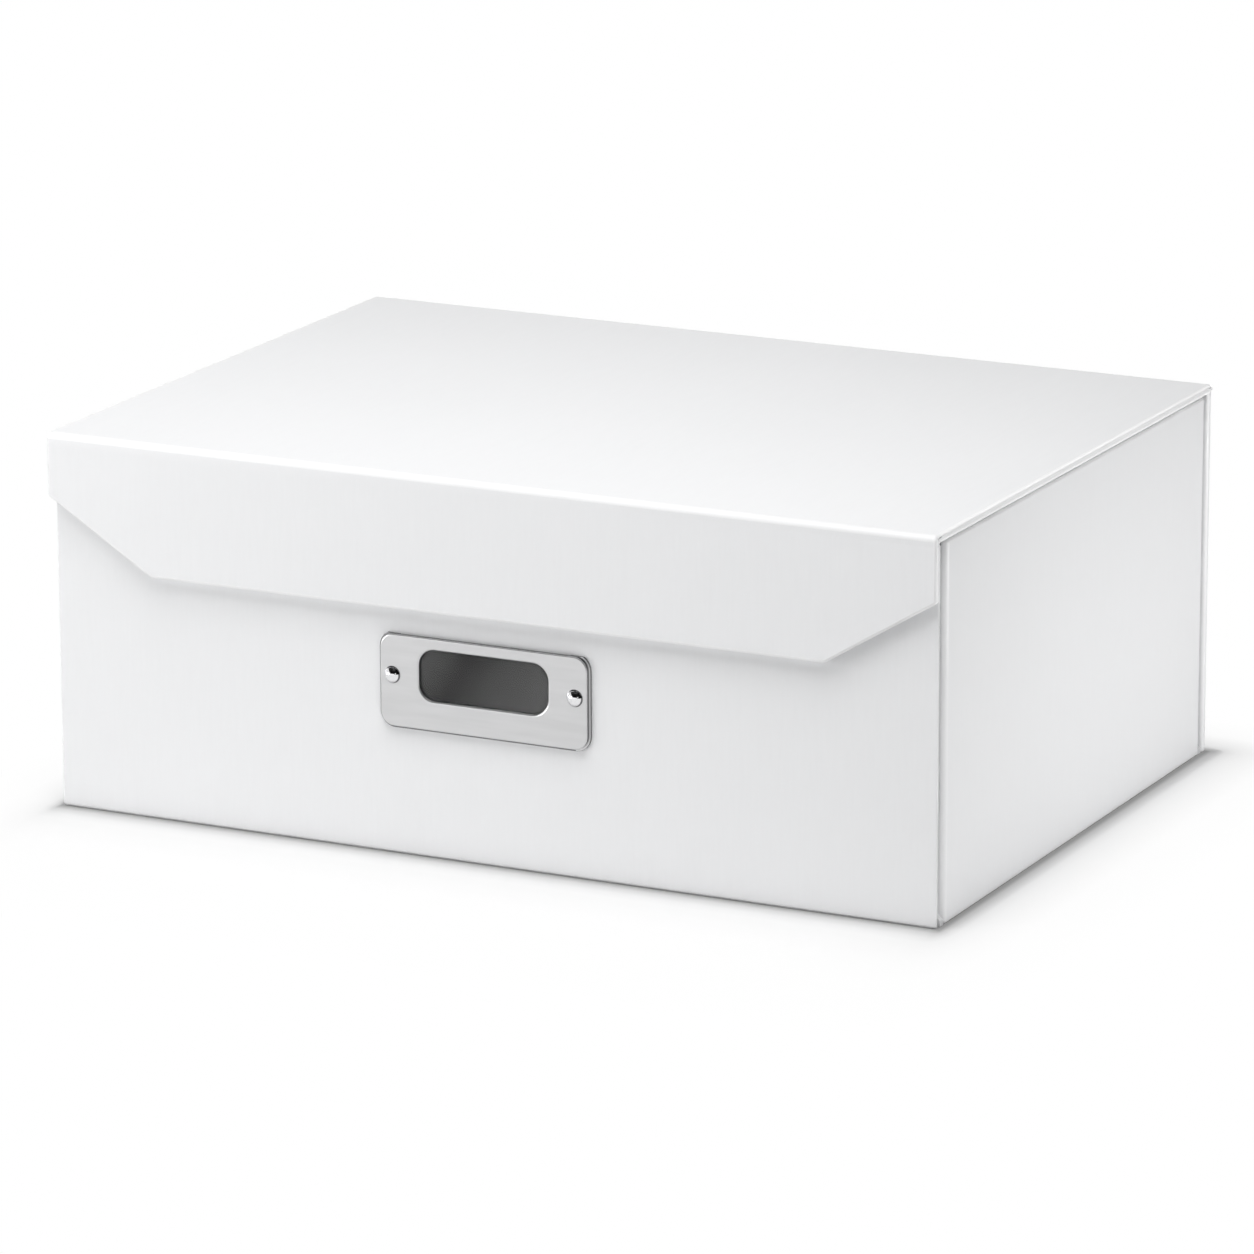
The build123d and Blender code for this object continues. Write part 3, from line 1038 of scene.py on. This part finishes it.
def makeFloor():
    bpy.ops.object.select_all(action="DESELECT")
    bpy.ops.mesh.primitive_plane_add(size=studio["floorSize"], location=(0, 0, cadBox[0].z))
    floor = bpy.context.object
    floor.name = "floor"
    material, shader = newMaterial("floorPaper", {"Roughness": 0.9, "Specular IOR Level": 0.0})
    links = material.node_tree.links
    reach = addNode(material, "ShaderNodeMapRange", {"From Max": studio["whiteFrom"]})
    links.new(floorDistance(material), reach.inputs["Value"])
    # the seen grey and the bounce grey are darker near the foot: a painted contact shadow
    pale, bounce, whiteShare = (
        greyRamp(material, reach.outputs["Result"], studio[key])
        for key in ("floorSeenShadow", "floorBounceShade", "floorWhite")
    )
    seen = seenRays(material)
    colour = addNode(material, "ShaderNodeMix", data_type="RGBA")
    links.new(seen, colour.inputs["Factor"])
    links.new(bounce, colour.inputs[mixFirst])
    links.new(pale, colour.inputs[mixSecond])
    links.new(colour.outputs[mixResult], shader.inputs["Base Color"])
    lift = addNode(material, "ShaderNodeMath", operation="MULTIPLY")
    links.new(seen, lift.inputs[0])
    links.new(whiteShare, lift.inputs[1])
    white = addNode(material, "ShaderNodeEmission")
    mix = addNode(material, "ShaderNodeMixShader")
    links.new(lift.outputs[0], mix.inputs[0])
    links.new(shader.outputs[0], mix.inputs[1])
    links.new(white.outputs[0], mix.inputs[2])
    links.new(mix.outputs[0], material.node_tree.nodes["Material Output"].inputs["Surface"])
    floor.data.materials.append(material)


def makeWorld():                    # white where it is seen
    world = bpy.data.worlds.new("studio")
    bpy.context.scene.world = world
    world.use_nodes = True
    nodes, links = world.node_tree.nodes, world.node_tree.links
    soft = nodes["Background"]
    setSockets(soft, {"Strength": studio["worldLight"], "Color": (1, 1, 1, 1)})
    white = addNode(world, "ShaderNodeBackground", {"Color": (1, 1, 1, 1)})
    mix = addNode(world, "ShaderNodeMixShader")
    links.new(seenRays(world), mix.inputs["Fac"])
    links.new(soft.outputs[0], mix.inputs[1])
    links.new(white.outputs[0], mix.inputs[2])
    links.new(mix.outputs[0], nodes["World Output"].inputs["Surface"])


lamps = {
    "frontTop": {
        "place": (0, -0.6, 1.1), "aim": (0, -0.05, 0.1), "size": (1.2, 0.7), "power": 9.15,
    },
    "top": {
        "place": (-0.05, -0.18, 0.7), "aim": (-0.02, -0.12, 0.13), "size": (0.9, 0.3), "power": 2.4,
    },
    "leftLow": {
        "place": (-0.7, -0.6, 0.12), "aim": (-0.12, -0.1, 0.07), "size": (0.6, 0.2), "power": 2.3,
    },
    "backRight": {
        "place": (0.45, 1.35, 0.75), "aim": (0.1, 0, 0.12), "size": (0.3, 0.28), "power": 1.6,
    },
    "backLow": {
        "place": (0, 1.3, 0.07), "aim": (0, 0.1, 0.07), "size": (0.3, 0.1), "power": 7.0,
    },
    "frontRight": {
        "place": (1.1, -1.1, 0.35), "aim": (0.15, -0.1, 0.07), "size": (0.5, 0.4), "power": 0.82,
    },
    "rightLow": {
        "place": (0.5, 0.065, 0.04), "aim": (0.17, 0.065, 0.045), "size": (0.35, 0.06), "power": 0.635,
    },
    "frontLow": {
        "place": (-0.05, -0.75, 0.1), "aim": (-0.02, -0.12, 0.06), "size": (0.9, 0.16), "power": 0.07,
    },
}


def makeLamps():
    for name, lamp in lamps.items():
        bpy.ops.object.light_add(type="AREA", location=lamp["place"])
        light = bpy.context.object
        light.name = name
        light.data.shape = "RECTANGLE"
        light.data.size, light.data.size_y = lamp["size"]
        light.data.energy = lamp["power"]
        aim = Vector(lamp["aim"]) - Vector(lamp["place"])
        light.rotation_euler = aim.to_track_quat("-Z", "Y").to_euler()


def turned(angles):
    return [math.radians(angle) for angle in angles]


# Black cards beside and above the box, which only reflections see
flags = {
    "sideFlag": {"middle": (1.626, -2.225, 2.0), "size": (4.7, 3.9), "turn": (90, 0, 115.8)},
    "lowFlag": {"middle": (0.278, 0.565, 0.135), "size": (1.5, 0.17), "turn": (90, 0, 115.8)},
    "topFlag": {"middle": (0.9, -1.2, 0.62), "size": (3.2, 3.6), "turn": (0, 0, 0)},
}


def makeFlags():
    dark = {"Base Color": (0.01, 0.01, 0.01, 1), "Roughness": 1.0, "Specular IOR Level": 0.0}
    material, shader = newMaterial("blackCard", dark)
    for name, flag in flags.items():
        bpy.ops.object.select_all(action="DESELECT")
        bpy.ops.mesh.primitive_plane_add(size=1, location=flag["middle"], rotation=turned(flag["turn"]))
        sheet = bpy.context.object
        sheet.name = name
        sheet.scale = (*flag["size"], 1)
        sheet.data.materials.append(material)
        for ray in ("camera", "diffuse", "transmission", "volume_scatter", "shadow"):
            setattr(sheet, "visible_" + ray, False)


cameraView = {
    "place": (1.09736, -2.22268, 0.72654),
    "turn": (74.8767, 0.1984, 26.3118),
    "lens": 206.86,
    "sensor": 36,
    "farthest": 50,
}


def makeCamera():
    bpy.ops.object.camera_add(location=cameraView["place"], rotation=turned(cameraView["turn"]))
    camera = bpy.context.object
    camera.data.lens = cameraView["lens"]
    camera.data.sensor_width = cameraView["sensor"]
    camera.data.clip_end = cameraView["farthest"]
    bpy.context.scene.camera = camera


makeFloor()
makeWorld()
makeLamps()
makeFlags()
makeCamera()
bpy.context.scene.view_settings.view_transform = "Standard"
print("studio ready")
